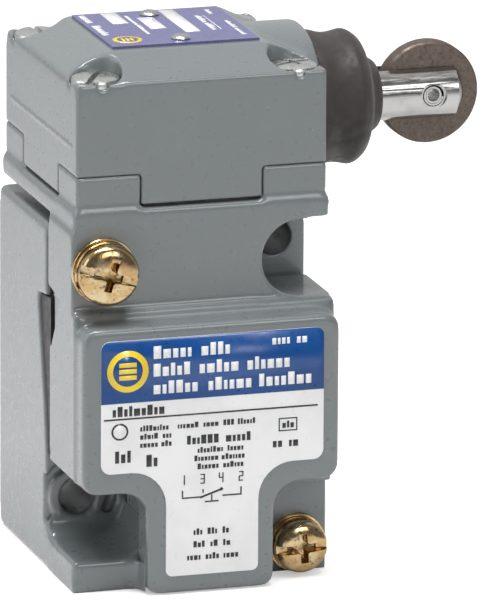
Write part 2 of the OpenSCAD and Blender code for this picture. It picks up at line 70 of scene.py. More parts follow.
plate_lo, plate_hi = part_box("nameplate")
HEAD = Vector(((plate_lo[0] + plate_hi[0]) / 2, (plate_lo[1] + plate_hi[1]) / 2, 0))
ROOF = plate_hi[2] / MM
head_hi = np.array(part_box("head_housing")[1]) / MM
roller_lo, roller_hi = [np.array(c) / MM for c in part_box("roller")]
AXIS_Z = (roller_lo[2] + roller_hi[2]) / 2
ROLLER_X = (roller_lo[0] + roller_hi[0]) / 2
ROLLER_R = (roller_hi[0] - roller_lo[0]) / 2
LABEL_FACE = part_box("front_label")[0][1] / MM - HEAD.y / MM


# ---- camera and lamps ----

TARGET = Vector((0, 0, 60))
TOWARDS = Vector((-0.2794, -0.9299, 0.2391)).normalized()
DISTANCE = 1500
ROLL = math.radians(0.198)
SENSOR = 36
LENS = 722.39
# how far the line of sight passes from TARGET, right and down, as a tangent
OFF_AXIS = (0.0078991, 0.0128981)


def place(p):
    """A point in millimetres about the head's centre line, in the frame."""
    return HEAD + Vector(p) * MM


def make_camera():
    right = Vector((-TOWARDS.y, TOWARDS.x, 0)).normalized()
    up = TOWARDS.cross(right)
    right, up = (
        right * math.cos(ROLL) + up * math.sin(ROLL),
        up * math.cos(ROLL) - right * math.sin(ROLL),
    )
    eye = TARGET + TOWARDS * DISTANCE
    look = (right * OFF_AXIS[0] - up * OFF_AXIS[1] - TOWARDS).normalized()
    right = (right - look * right.dot(look)).normalized()
    up = right.cross(look)
    data = bpy.data.cameras.new("camera")
    data.sensor_fit = "HORIZONTAL"
    data.sensor_width = SENSOR
    data.lens = LENS
    data.clip_start = 0.05
    data.clip_end = 50
    cam = bpy.data.objects.new("camera", data)
    scene.collection.objects.link(cam)
    turn = Matrix((right, up, -look)).transposed().to_4x4()
    cam.matrix_world = Matrix.Translation(place(eye)) @ turn
    scene.camera = cam


def area_light(name, where, at, size, power, colour=(1, 1, 1)):
    data = bpy.data.lights.new(name, "AREA")
    data.shape = "RECTANGLE"
    data.size, data.size_y = size
    data.energy = power
    data.color = colour
    lamp = bpy.data.objects.new(name, data)
    scene.collection.objects.link(lamp)
    lamp.location = where
    lamp.rotation_euler = (Vector(at) - Vector(where)).to_track_quat("-Z", "Y").to_euler()


# ---- mesh helpers ----


def add_piece(name, verts, faces, mat, body, nodes=(), sharp=35):
    """A piece from points in millimetres about the head's centre line."""
    me = bpy.data.meshes.new(name)
    pts = np.asarray(verts, dtype=float) * MM + np.array(HEAD)
    me.from_pydata(pts.tolist(), [], [list(f) for f in faces])
    me.validate()
    me.update()
    ob = bpy.data.objects.new(name, me)
    scene.collection.objects.link(ob)
    finish_piece(ob, mat, body, nodes, sharp)
    return ob


def finish_piece(ob, mat, body, nodes=(), sharp=35):
    me = ob.data
    me.materials.clear()
    me.materials.append(mat)
    me.polygons.foreach_set("use_smooth", [True] * len(me.polygons))
    if sharp:
        me.set_sharp_from_angle(angle=math.radians(sharp))
    if body:
        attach(ob, body)
    if nodes:
        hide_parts(*nodes)


def lathe(profile, steps=72, closed=False):
    """Points (along, radius) turned about +Z. Returns vertices and faces."""
    verts, rings = [], []
    for a, r in profile:
        if r < 1e-6:
            rings.append([len(verts)])
            verts.append((0, 0, a))
            continue
        rings.append(list(range(len(verts), len(verts) + steps)))
        for i in range(steps):
            t = 2 * math.pi * i / steps
            verts.append((r * math.cos(t), r * math.sin(t), a))
    faces = []
    pairs = list(zip(rings, rings[1:]))
    if closed:
        pairs.append((rings[-1], rings[0]))
    for lo, hi in pairs:
        for i in range(steps):
            j = (i + 1) % steps
            if len(lo) == 1 and len(hi) > 1:
                faces.append((lo[0], hi[j], hi[i]))
            elif len(hi) == 1 and len(lo) > 1:
                faces.append((lo[i], lo[j], hi[0]))
            elif len(lo) > 1:
                faces.append((lo[i], lo[j], hi[j], hi[i]))
    return np.array(verts), faces


def turned(verts, axis, at):
    """Points drawn about +Z, turned so that +Z lies along axis ("+x", "-y", ...) and moved."""
    way = {"+x": (1, 0, 0), "-x": (-1, 0, 0), "+y": (0, 1, 0), "-y": (0, -1, 0), "+z": (0, 0, 1)}
    turn = Vector(way[axis]).to_track_quat("Z", "Y").to_matrix()
    return np.asarray(verts) @ np.array(turn).T + np.array(at)


def box_mesh(lo, hi):
    x, y, z = zip(lo, hi)
    verts = [(x[i], y[j], z[k]) for i in (0, 1) for j in (0, 1) for k in (0, 1)]
    faces = [(0, 1, 3, 2), (4, 6, 7, 5), (0, 4, 5, 1), (2, 3, 7, 6), (0, 2, 6, 4), (1, 5, 7, 3)]
    return np.array(verts, dtype=float), faces


def merged(*parts):
    verts, faces, n = [], [], 0
    for v, f in parts:
        verts.append(np.asarray(v, dtype=float))
        faces += [tuple(i + n for i in face) for face in f]
        n += len(v)
    return np.vstack(verts), faces


def temp_object(verts, faces):
    me = bpy.data.meshes.new("temp")
    me.from_pydata(np.asarray(verts).tolist(), [], [list(f) for f in faces])
    bm = bmesh.new()
    bm.from_mesh(me)
    bmesh.ops.recalc_face_normals(bm, faces=bm.faces)
    bm.to_mesh(me)
    bm.free()
    ob = bpy.data.objects.new("temp", me)
    scene.collection.objects.link(ob)
    return ob


def baked(ob, keep=False):
    """The mesh that ob's modifiers make, as arrays."""
    bpy.context.view_layer.update()
    made = ob.evaluated_get(bpy.context.evaluated_depsgraph_get())
    me = bpy.data.meshes.new_from_object(made)
    verts = np.empty(len(me.vertices) * 3)
    me.vertices.foreach_get("co", verts)
    faces = [tuple(p.vertices) for p in me.polygons]
    bpy.data.meshes.remove(me)
    if not keep:
        bpy.data.objects.remove(ob)
    return verts.reshape(-1, 3), faces


def carved(body, cutters, edge=0.1, segments=2):
    """body less each cutter, with its edges rounded."""
    ob = temp_object(*body)
    tools = [temp_object(*c) for c in cutters]
    for tool in tools:
        cut = ob.modifiers.new("cut", "BOOLEAN")
        cut.operation = "DIFFERENCE"
        cut.solver = "EXACT"
        cut.object = tool
    if edge:
        soft = ob.modifiers.new("soft", "BEVEL")
        soft.width = edge
        soft.segments = segments
        soft.limit_method = "ANGLE"
        soft.angle_limit = math.radians(40)
    made = baked(ob)
    for tool in tools:
        bpy.data.objects.remove(tool)
    return made


def ramp(x, lo, hi):
    """0 below lo, 1 above hi, smooth between."""
    t = np.clip((x - lo) / (hi - lo), 0, 1)
    return t * t * (3 - 2 * t)


def inside(p, lo, hi, soft=1.0):
    """Near 1 in the box from lo to hi, falling to 0 over soft outside it."""
    w = np.ones(len(p))
    for i in range(3):
        w *= ramp(p[:, i], lo[i] - soft, lo[i]) * (1 - ramp(p[:, i], hi[i], hi[i] + soft))
    return w


def fillet(corner, r, lo, hi, axis, ways):
    """A prism that fills an inner corner to radius r, along axis. ways are the signs of the other two."""
    n, (sa, sb), over = 8, ways, 0.3
    rim = [(-over * sa, -over * sb), (r * sa, -over * sb)]
    for i in range(n + 1):
        t = math.pi / 2 * i / n
        rim.append((sa * r * (1 - math.sin(t)), sb * r * (1 - math.cos(t))))
    rim.append((-over * sa, r * sb))
    others = [k for k in range(3) if k != axis]
    verts = []
    for end in (lo, hi):
        for p in rim:
            q = [0, 0, 0]
            q[axis] = end
            q[others[0]] = corner[0] + p[0]
            q[others[1]] = corner[1] + p[1]
            verts.append(q)
    m = len(rim)
    faces = [tuple(range(m)), tuple(range(2 * m - 1, m - 1, -1))]
    faces += [(i, i + m, (i + 1) % m + m, (i + 1) % m) for i in range(m)]
    return np.array(verts, dtype=float), faces


def casting(name, node, mat, voxel, soften, zones=(), extra=(), shape=None):
    """A CAD casting rebuilt as a fine even skin, with its edges rounded as in a mould.

    zones are (weight function of the points, passes): more passes give a larger edge radius.
    """
    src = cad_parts[node]
    co = np.empty(len(src.data.vertices) * 3)
    src.data.vertices.foreach_get("co", co)
    co = (co.reshape(-1, 3) - np.array(HEAD)) / MM
    verts, faces = merged((co, [tuple(p.vertices) for p in src.data.polygons]), *extra)
    ob = temp_object(verts, faces)
    mesher = ob.modifiers.new("mesher", "REMESH")
    mesher.mode = "VOXEL"
    mesher.voxel_size = voxel
    p, faces = baked(ob)
    quads = np.array([f for f in faces if len(f) == 4])
    ends = np.vstack([quads[:, [i, (i + 1) % 4]] for i in range(4)])
    ends = np.unique(np.sort(ends, axis=1), axis=0)
    a, b = ends[:, 0], ends[:, 1]
    count = np.maximum(np.bincount(a, minlength=len(p)) + np.bincount(b, minlength=len(p)), 1)

    def relax(p, weight, passes):
        busy = weight > 0.01
        near = busy[a] | busy[b]
        sa, sb = a[near], b[near]
        for _ in range(passes):
            mean = np.stack([
                (np.bincount(sa, p[sb, i], len(p)) + np.bincount(sb, p[sa, i], len(p))) / count
                for i in range(3)
            ], axis=1)
            p = np.where(busy[:, None], p + weight[:, None] * (mean - p), p)
        return p

    p = relax(p, np.full(len(p), 0.6), soften)
    for weigh, passes in zones:
        p = relax(p, 0.7 * weigh(p), passes)
    if shape:
        p = shape(p)
    return add_piece(name, p, faces, mat, "base", (node,), sharp=None)


# ---- materials ----


class Nodes:
    """A material's node tree with short calls."""

    def __init__(self, name, colour, rough, metal=0.0, **sockets):
        self.mat = bpy.data.materials.new(name)
        self.mat.use_nodes = True
        self.tree = self.mat.node_tree
        self.shader = self.tree.nodes["Principled BSDF"]
        self.shader.inputs["Base Color"].default_value = (*colour, 1)
        self.shader.inputs["Roughness"].default_value = rough
        self.shader.inputs["Metallic"].default_value = metal
        for key, value in sockets.items():
            self.shader.inputs[key.replace("_", " ")].default_value = value
        self.coord = self.tree.nodes.new("ShaderNodeTexCoord").outputs["Object"]
        self.bumps = None

    def link(self, a, b):
        self.tree.links.new(a, b)

    def node(self, kind, **values):
        made = self.tree.nodes.new("ShaderNode" + kind)
        for key, value in values.items():
            if hasattr(made, key):
                setattr(made, key, value)
            else:
                made.inputs[key.replace("_", " ")].default_value = value
        return made

    def scaled(self, per_mm, stretch=(1, 1, 1)):
        m = self.node("Mapping")
        m.inputs["Scale"].default_value = [s * per_mm / MM for s in stretch]
        self.link(self.coord, m.inputs["Vector"])
        return m.outputs["Vector"]

    def noise(self, per_mm, detail=3, stretch=(1, 1, 1), rough=0.5):
        n = self.node("TexNoise", Scale=1.0, Detail=detail, Roughness=rough)
        self.link(self.scaled(per_mm, stretch), n.inputs["Vector"])
        return n.outputs["Fac"]

    def specks(self, per_mm, size):
        v = self.node("TexVoronoi", Scale=1.0, Randomness=1.0)
        self.link(self.scaled(per_mm), v.inputs["Vector"])
        keep = self.curve(v.outputs["Distance"], size, size * 0.5, 0, 1)
        rare = self.curve(self.noise(per_mm * 0.5, 1), 0.60, 0.66, 0, 1)
        return self.math("MULTIPLY", keep, rare)

    def curve(self, value, lo, hi, a, b):
        m = self.node("MapRange", interpolation_type="SMOOTHSTEP")
        for key, v in (("From Min", lo), ("From Max", hi), ("To Min", a), ("To Max", b)):
            m.inputs[key].default_value = v
        self.link(value, m.inputs["Value"])
        return m.outputs["Result"]

    def math(self, op, a, b):
        m = self.node("Math", operation=op)
        for i, v in enumerate((a, b)):
            if isinstance(v, (int, float)):
                m.inputs[i].default_value = v
            else:
                self.link(v, m.inputs[i])
        return m.outputs[0]

    def tint(self, factor, colour):
        """Blends the base colour so far towards colour by factor."""
        mix = self.node("Mix", data_type="RGBA")
        base = self.shader.inputs["Base Color"]
        if base.is_linked:
            self.link(base.links[0].from_socket, mix.inputs[6])
        else:
            mix.inputs[6].default_value = base.default_value
        mix.inputs[7].default_value = (*colour, 1)
        self.link(factor, mix.inputs[0])
        self.link(mix.outputs[2], base)

    def rough(self, value, lo, hi, a, b):
        self.link(self.curve(value, lo, hi, a, b), self.shader.inputs["Roughness"])

    def bump(self, height, distance_mm, strength=1.0):
        n = self.node("Bump", Strength=strength, Distance=distance_mm * MM)
        self.link(height, n.inputs["Height"])
        if self.bumps:
            self.link(self.bumps, n.inputs["Normal"])
        self.bumps = n.outputs["Normal"]
        self.link(self.bumps, self.shader.inputs["Normal"])


def painted():
    m = Nodes("casting_paint", (0.150, 0.168, 0.172), 0.28, Coat_Weight=0.6, Coat_Roughness=0.08)
    m.tint(m.curve(m.noise(0.08, 2), 0.35, 0.7, 0, 0.3), (0.162, 0.180, 0.184))
    m.tint(m.math("MULTIPLY", m.specks(0.8, 0.09), 0.5), (0.5, 0.52, 0.5))
    m.rough(m.noise(0.9, 3), 0.3, 0.7, 0.27, 0.36)
    m.bump(m.noise(0.5, 2), 0.012, 0.35)
    m.bump(m.noise(3.2, 2), 0.008, 0.5)
    return m.mat


def metal(name, colour, rough, stretch=(1, 1, 1), worn=(0.3, 0.3, 0.3), lines=3.0):
    m = Nodes(name, colour, rough, 1.0)
    m.tint(m.curve(m.noise(0.35, 3), 0.45, 0.75, 0, 0.55), worn)
    streak = m.noise(lines, 3, stretch)
    m.rough(streak, 0.3, 0.7, rough * 0.75, rough * 1.35)
    m.bump(streak, 0.01, 0.6)
    return m.mat


def zinc():
    """Yellow chromate on zinc: gold with pinkish and greenish drifts, and near-black patches that are
    painted reflection of the dark surroundings.
    """
    m = Nodes("yellow_zinc", (0.50, 0.34, 0.15), 0.17, 1.0)
    m.tint(m.curve(m.noise(0.45, 2), 0.4, 0.65, 0, 0.8), (0.60, 0.50, 0.32))
    m.tint(m.curve(m.noise(0.8, 2, (1, 1, 1.4)), 0.52, 0.72, 0, 0.7), (0.42, 0.23, 0.13))
    # near-black patches: painted reflection of the dark surroundings on the plating
    m.tint(m.curve(m.noise(1.2, 3), 0.56, 0.72, 0, 0.8), (0.09, 0.06, 0.04))
    m.rough(m.noise(1.2, 3), 0.3, 0.7, 0.12, 0.26)
    m.bump(m.noise(2.5, 3), 0.02, 0.5)
    return m.mat


def rubber(name="boot_rubber", colour=(0.022, 0.017, 0.015)):
    m = Nodes(name, colour, 0.6, Sheen_Weight=0.15, Sheen_Roughness=0.5)
    m.tint(m.curve(m.noise(0.5, 3), 0.4, 0.75, 0, 0.35), tuple(c * 1.7 for c in colour))
    m.tint(m.math("MULTIPLY", m.specks(1.3, 0.14), 0.4), (0.3, 0.28, 0.25))
    m.rough(m.noise(0.6, 3), 0.3, 0.7, 0.5, 0.75)
    m.bump(m.noise(1.6, 4), 0.04, 0.5)
    return m.mat


def sintered():
    m = Nodes("sintered_roller", (0.15, 0.118, 0.10), 0.55, 0.75)
    m.tint(m.curve(m.noise(0.9, 5), 0.45, 0.7, 0, 0.35), (0.22, 0.185, 0.165))
    m.tint(m.curve(m.noise(2.4, 4), 0.58, 0.7, 0, 0.7), (0.055, 0.042, 0.036))
    m.rough(m.noise(1.2, 4), 0.3, 0.7, 0.42, 0.7)
    m.bump(m.noise(2.8, 5), 0.05, 0.7)
    return m.mat


def printed(name, colour, rough=0.32):
    m = Nodes(name, colour, rough, Coat_Weight=0.15, Coat_Roughness=0.2)
    dim = tuple(c * 0.86 for c in colour)
    m.tint(m.curve(m.noise(0.12, 3), 0.4, 0.7, 0, 0.6), dim)
    m.rough(m.noise(0.8, 3), 0.3, 0.7, rough * 0.85, rough * 1.25)
    m.bump(m.noise(1.8, 3), 0.008, 0.5)
    return m.mat


def plastic(name, colour, rough=0.5):
    m = Nodes(name, colour, rough)
    m.tint(m.curve(m.noise(0.3, 3), 0.4, 0.7, 0, 0.3), tuple(c * 0.8 for c in colour))
    m.rough(m.noise(1.0, 3), 0.3, 0.7, rough * 0.85, rough * 1.2)
    m.bump(m.noise(2.0, 3), 0.01, 0.5)
    return m.mat


PAINT = painted()
ZINC = zinc()
RUBBER = rubber()
GASKET = rubber("gasket_rubber", (0.008, 0.007, 0.006))
SINTERED = sintered()
STEEL = metal("turned_steel", (0.47, 0.465, 0.455), 0.2, (0.12, 1, 1), (0.33, 0.32, 0.31))
SPRING = metal("spring_steel", (0.5, 0.5, 0.5), 0.35)
BRASS = metal("brass_strip", (0.72, 0.52, 0.24), 0.3, (1, 0.2, 1), (0.5, 0.33, 0.15))
BRONZE = metal("bronze_bush", (0.42, 0.31, 0.18), 0.4)
CLEAR_ZINC = metal("clear_zinc", (0.60, 0.62, 0.60), 0.3, (1, 1, 1), (0.32, 0.34, 0.32))
PLATED = metal("plated_steel", (0.55, 0.55, 0.54), 0.3)
BLACK_PLASTIC = plastic("phenolic", (0.03, 0.028, 0.026))
WHITE_PLASTIC = plastic("acetal", (0.72, 0.69, 0.6))
GREEN = plastic("green_screw", (0.05, 0.22, 0.07), 0.35)
WHITE = printed("print_white", (0.80, 0.80, 0.80))
BLUE = printed("print_blue", (0.0, 0.058, 0.24))
BLACK = printed("print_black", (0.02, 0.02, 0.022))
YELLOW = printed("print_yellow", (0.86, 0.62, 0.03))
PLATE_BLUE = printed("plate_blue", (0.105, 0.105, 0.25), 0.28)

NODE_FINISH = {
    "receptacle_gasket": GASKET, "head_gasket": GASKET,
    "terminal_block": BLACK_PLASTIC, "contact_block": BLACK_PLASTIC,
    "contact_block_cover": BLACK_PLASTIC, "contact_carrier": WHITE_PLASTIC,
    "actuator_bushing": WHITE_PLASTIC, "ground_screw": GREEN,
    "contact_sockets": BRASS, "terminal_plates": BRASS, "blade_contacts": BRASS,
    "bridge_contacts": BRASS, "plunger_bushing": BRONZE, "terminal_block_screws": PLATED,
    "terminal_screws": PLATED, "block_screws": PLATED, "retaining_ring": PLATED,
    "push_pin_lifter": PLATED, "pin_guide": PLATED, "contact_springs": SPRING,
    "return_spring": SPRING, "plunger_spring": SPRING,
}
for key, mat in NODE_FINISH.items():
    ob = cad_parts[key]
    ob.data.materials.clear()
    ob.data.materials.append(mat)

# the two return springs are copied as coils of their own and the CAD springs hidden; their end points along
# the axis are found but not used
for key, name, mover, axis in (("return_spring", "carrier_coil", "stem", 2),
                               ("plunger_spring", "plunger_coil", "plunger", 0)):
    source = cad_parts[key]
    me = source.data.copy()
    me.transform(source.matrix_world)
    coil = bpy.data.objects.new(name, me)
    scene.collection.objects.link(coil)
    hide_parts(key)
    low, high = (np.array(p, dtype=float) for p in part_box(key))
    start, end = (low + high) / 2, (low + high) / 2
    start[axis], end[axis] = low[axis], high[axis]
    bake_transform(coil)


# ---- castings ----

SEAM_Z, SEAM_HALF, SEAM_UP = 69.9, 0.32, 0.13


def parting_line(p):
    """The mould's seam: a low ridge across the head's left face."""
    p = p.copy()
    near = (p[:, 0] < -19.7) & (np.abs(p[:, 1]) < 17.4)
    wave = SEAM_Z + 0.08 * np.sin(p[:, 1] * 2.1)
    p[:, 0] -= near * SEAM_UP * np.exp(-((p[:, 2] - wave) / SEAM_HALF) ** 2)
    return p


casting(
    "head_casting", "head_housing", PAINT, 0.26, 3,
    zones=[
        (lambda p: inside(p, (-21, -21, 78.6), (-12.5, 21, 84), 0.8), 14),
        (lambda p: inside(p, (19.0, -14, 60), (24, 14, 84), 0.6), 12),
    ],
    shape=parting_line,
)


def plate_edge(p):
    """The pillow plate's front edge and its fillet to the flat above."""
    rim = 1 - ramp(p[:, 1], -22.4, -21.4)
    label = inside(p, (-17.6, -40, 20.6), (17.6, 0, 40.8), 0.7)
    label = np.maximum(label, inside(p, (-7.2, -40, 3.4), (7.2, 0, 22), 0.7))
    return rim * (1 - label)


FLAT_Y, PEDESTAL_Z = -20.4, 44.4
casting(
    "body_casting", "switch_body", PAINT, 0.26, 3,
    zones=[
        (lambda p: inside(p, (-22, -24, 42.6), (22, -19.6, 45.6), 0.6), 7),
        (plate_edge, 26),
        (lambda p: inside(p, (-22, -22, 59.4), (22, 22, 61.0), 0.5), 14),
        (lambda p: inside(p, (17.5, -21.5, 55.8), (22, 22, 58.4), 0.8), 26),
        (lambda p: inside(p, (-22, -21.5, 55.8), (-19, 22, 58.4), 0.8), 12),
        (lambda p: inside(p, (9, -21.6, 43.6), (22, -19.4, 45.4), 0.5), 5),
        (lambda p: inside(p, (-22, -21, 16), (-8, -6, 19.4), 0.8), 10),
    ],
    extra=[fillet((FLAT_Y, PEDESTAL_Z), 0.9, -20.4, 9.0, 0, (-1, 1))],
)

BLOCK_TOP, BLOCK_FRONT, STEM_X, FLANGE_Y = 5, -21.2, -8.3, -6.2
casting(
    "receptacle_casting", "receptacle", PAINT, 0.28, 3,
    zones=[
        (lambda p: inside(p, (-22, -9, -1), (22, 22, 3), 1), 6),
        (lambda p: inside(p, (-22, -8, 53), (22, 22, 56), 0.6), 12),
        (lambda p: inside(p, (-22, -22, 2.4), (-8, -5.5, 9), 1.2), 16),
    ],
    extra=[
        fillet((STEM_X, BLOCK_TOP), 5.2, BLOCK_FRONT + 0.4, FLANGE_Y, 1, (-1, 1)),
        fillet((FLANGE_Y, BLOCK_TOP), 3.6, -20.7, STEM_X, 0, (-1, 1)),
        fillet((-10.3, BLOCK_FRONT + 0.4), 3.4, 0.2, BLOCK_TOP, 2, (-1, -1)),
    ],
)


# ---- plunger, roller and boot ----

hub_x = head_hi[0]
plunger_r = (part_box("plunger")[1][2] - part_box("plunger")[0][2]) / 2 / MM
plunger_x1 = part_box("plunger")[1][0] / MM

BOOT = [
    (0.0, 9.3), (0.0, 10.7), (0.35, 10.8), (1.2, 10.72), (2.3, 10.35), (3.4, 10.15), (4.6, 10.2),
    (5.7, 10.45), (6.4, 10.6), (7.0, 10.5), (7.7, 10.1), (8.4, 9.5), (8.75, 8.9), (9.0, 8.0),
    (9.35, 7.0), (9.9, 6.25), (10.8, 5.7), (11.3, 5.35), (11.55, 4.9), (11.55, 4.36), (10.2, 4.36),
    (9.4, 5.0), (8.6, 6.4), (8.0, 8.0), (6.8, 9.1), (5.8, 9.3),
]


def smooth_ring(points, passes=2):
    """Chaikin corner cutting on a closed outline."""
    pts = np.array(points)
    for _ in range(passes):
        nxt = np.roll(pts, -1, axis=0)
        pts = np.stack([0.75 * pts + 0.25 * nxt, 0.25 * pts + 0.75 * nxt], axis=1).reshape(-1, 2)
    return pts.tolist()


v, f = lathe(smooth_ring(BOOT), 96, closed=True)
boot = add_piece("boot", turned(v, "+x", (hub_x, 0, AXIS_Z)), f, RUBBER, None, ("plunger_boot",))
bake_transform(boot)

c = 0.9
v, f = lathe([(10, 0), (10, plunger_r), (plunger_x1 - c, plunger_r), (plunger_x1 - 0.25, plunger_r - 0.75),
              (plunger_x1, plunger_r - 1.15), (plunger_x1, 0)], 96)
rod = (turned(v, "+x", (0, 0, AXIS_Z)), f)
slot = box_mesh((ROLLER_X - ROLLER_R - 0.9, -1.7, AXIS_Z - 6), (plunger_x1 + 2, 1.7, AXIS_Z + 6))
bore = lathe([(-6, 0), (-6, 1.72), (6, 1.72), (6, 0)], 48)
bore = (turned(bore[0], "+y", (ROLLER_X, 0, AXIS_Z)), bore[1])
sinks = []
for side in (-1, 1):
    v, f = lathe([(3.85, 0), (3.85, 2.12), (6, 2.12), (6, 0)], 48)
    sinks.append((turned(v, "+y" if side > 0 else "-y", (ROLLER_X, 0, AXIS_Z)), f))
v, f = carved(rod, [slot, bore, *sinks], 0.12)
add_piece("plunger_rod", v, f, STEEL, "plunger", ("plunger",))

ring = [(-1.5, 2.0), (-1.5, 7.75), (-1.32, 8.0), (-1.1, ROLLER_R), (1.1, ROLLER_R), (1.32, 8.0), (1.5, 7.75),
        (1.5, 2.0), (1.42, 1.78), (-1.42, 1.78)]
v, f = lathe(ring, 120, closed=True)
add_piece("roller_wheel", turned(v, "+y", (ROLLER_X, 0, AXIS_Z)), f, SINTERED, "roller", ("roller",))

# coiled spring pin: a strip rolled one and a half turns
turns, n = 1.7, 90
v, f = [], []
for i in range(n + 1):
    t = i / n
    a = math.radians(100) + t * turns * 2 * math.pi
    mid = 0.95 + 0.62 * t
    for r in (mid - 0.17, mid + 0.13):
        for y in (-3.75, 3.75):
            v.append((r * math.cos(a), y, r * math.sin(a)))
for i in range(n):
    k = 4 * i
    for p, q in ((0, 1), (1, 3), (3, 2), (2, 0)):
        f.append((k + p, k + q, k + 4 + q, k + 4 + p))
f += [(0, 2, 3, 1), (4 * n, 4 * n + 1, 4 * n + 3, 4 * n + 2)]
add_piece("coiled_pin", np.array(v) + (ROLLER_X, 0, AXIS_Z), f, PLATED, "plunger", ("roller_pin",))


# ---- screws ----


def captive(x, z, face, head_r, turn):
    """Head with a dome, a slot and a cross recess, its axis along -Y."""
    seat = face + 1.9
    top = 2.8
    dome = [(0, 0), (0, head_r - 0.15), (0.25, head_r), (1.5, head_r), (2.0, head_r - 0.18),
            (2.4, head_r - 0.7), (2.65, head_r - 1.7), (top - 0.02, head_r - 3.0), (top, 0)]
    v, f = lathe(dome, 72)
    slot = box_mesh((-9, -0.68, 1.15), (9, 0.68, 6))
    cross = []
    for w, h in ((2.35, 0.62), (0.62, 2.35)):
        cross.append(box_mesh((-w, -h, 0.1), (w, h, 6)))
    taper = lathe([(0.3, 0), (0.3, 0.7), (3.2, 1.7), (3.2, 0)], 4)
    v, f = carved((v, f), [slot, *cross, taper], 0.13)
    spin = np.array(Matrix.Rotation(math.radians(turn), 3, "Z"))
    v = v @ spin.T
    shank, g = lathe([(-4, 1.7), (0.1, 1.7)], 32)
    return merged((turned(v, "-y", (x, -seat, z)), f), (turned(shank, "-y", (x, -seat, z)), g))


def split_washer(x, z, face, r, gap_at):
    """A helical lock washer: its ends stand a little apart."""
    inner, t, n = 2.2, 0.95, 84
    v, f = [], []
    for i in range(n + 1):
        u = i / n
        a = math.radians(gap_at + 7) + u * math.radians(346)
        lift = 0.16 * (u - 0.5)
        for rr, yy in ((inner, 0), (r - 0.1, 0), (r, 0.15), (r, t - 0.15), (r - 0.1, t), (inner, t)):
            v.append((x + rr * math.cos(a), -face - 0.82 - yy + lift, z + rr * math.sin(a)))
    for i in range(n):
        k = 6 * i
        for j in range(6):
            m = (j + 1) % 6
            f.append((k + j, k + m, k + 6 + m, k + 6 + j))
    f += [(5, 4, 3, 2, 1, 0), tuple(6 * n + j for j in range(6))]
    return np.array(v), f


heads, washers, flats = [], [], []
SCREWS = [(-15.85, 50.9, 20.4, 4.75, 5.15, -16, 200), (16.0, 4.7, 18, 4.1, 4.65, 4, 20)]
for x, z, face, head_r, washer_r, turn, gap in SCREWS:
    heads.append(captive(x, z, face, head_r, turn))
    washers.append(split_washer(x, z, face, head_r + 0.15, gap))
    v, f = lathe([(0.02, 2.2), (0.02, washer_r - 0.08), (0.12, washer_r), (0.68, washer_r),
                  (0.8, washer_r - 0.1), (0.8, 2.2)], 72, closed=True)
    flats.append((turned(v, "-y", (x, -face, z)), f))
add_piece("captive_heads", *merged(*heads), ZINC, "base", ("captive_screws",))
add_piece("split_washers", *merged(*washers), ZINC, "base", ("lock_washers",))
add_piece("plain_washers", *merged(*flats), ZINC, "base", ("flat_washers",))

top_heads = []
for x, y, turn, kind in ((-15.8, -15.8, 60, "slot"), (-15.8, 15.8, 92, "slot"),
                         (15.8, -15.8, 20, "cross"), (15.8, 15.8, 140, "slot")):
    v, f = lathe([(0, 0), (0, 3.6), (0.15, 3.78), (1.0, 3.8), (1.35, 3.62), (1.6, 3.1), (1.72, 2.0),
                  (1.75, 0)], 64)
    if kind == "slot":
        cuts = [box_mesh((-5, -0.45, 0.7), (5, 0.45, 3))]
    else:
        cuts = [box_mesh((-5, -0.42, 0.95), (5, 0.42, 3)), box_mesh((-1.7, -0.4, 0.4), (1.7, 0.4, 3)),
                box_mesh((-0.4, -1.7, 0.4), (0.4, 1.7, 3))]
    v, f = carved((v, f), cuts, 0.1)
    v = v @ np.array(Matrix.Rotation(math.radians(turn), 3, "Z")).T
    top_heads.append((v + (x, y, 78.9), f))
add_piece("roof_screws", *merged(*top_heads), CLEAR_ZINC, "base", ("head_screws",))


# ---- nameplate and label ----


def slab(outline, y0, y1):
    """A flat plate: outline is points (x, z), from y0 to y1."""
    n = len(outline)
    v = [(x, y0, z) for x, z in outline] + [(x, y1, z) for x, z in outline]
    f = [tuple(range(n)), tuple(range(2 * n - 1, n - 1, -1))]
    f += [(i, i + n, (i + 1) % n + n, (i + 1) % n) for i in range(n)]
    return np.array(v), f


def arc(cx, cz, r, a0, a1, n=8):
    out = []
    for i in range(n + 1):
        a = math.radians(a0 + (a1 - a0) * i / n)
        out.append((cx + r * math.cos(a), cz + r * math.sin(a)))
    return out


LW, LT, LM, LB = 17.85, 41.05, 20.05, 3.05
STEM, RW = 7.4, 5.6
label_outline = (
    arc(LW - 1.4, LT - 1.4, 1.4, 0, 90) + arc(-LW + 1.4, LT - 1.4, 1.4, 90, 180)
    + arc(-LW + 1.6, LM + 1.6, 1.6, 180, 270) + arc(-STEM - RW, LM - RW, RW, 90, 0)
    + arc(-STEM + 1.0, LB + 1.0, 1.0, 180, 270) + arc(STEM - 1.0, LB + 1.0, 1.0, 270, 360)
    + arc(STEM + RW, LM - RW, RW, 180, 90) + arc(LW - 1.6, LM + 1.6, 1.6, 270, 360)
)
v, f = slab(label_outline, LABEL_FACE + 0.1, LABEL_FACE + 0.3)
add_piece("label_foil", v, f, WHITE, "base", ("front_label",))

INK = LABEL_FACE + 0.06


def ink(name, mat, rects, layer=0.0):
    """Printed shapes on the label: each is (x0, z0, x1, z1) or a list of (x, z)."""
    parts = []
    for r in rects:
        pts = r if isinstance(r, list) else [(r[0], r[1]), (r[2], r[1]), (r[2], r[3]), (r[0], r[3])]
        parts.append(slab(pts, INK - layer, INK + 0.05 - layer))
    add_piece(name, *merged(*parts), mat, "base", sharp=None)


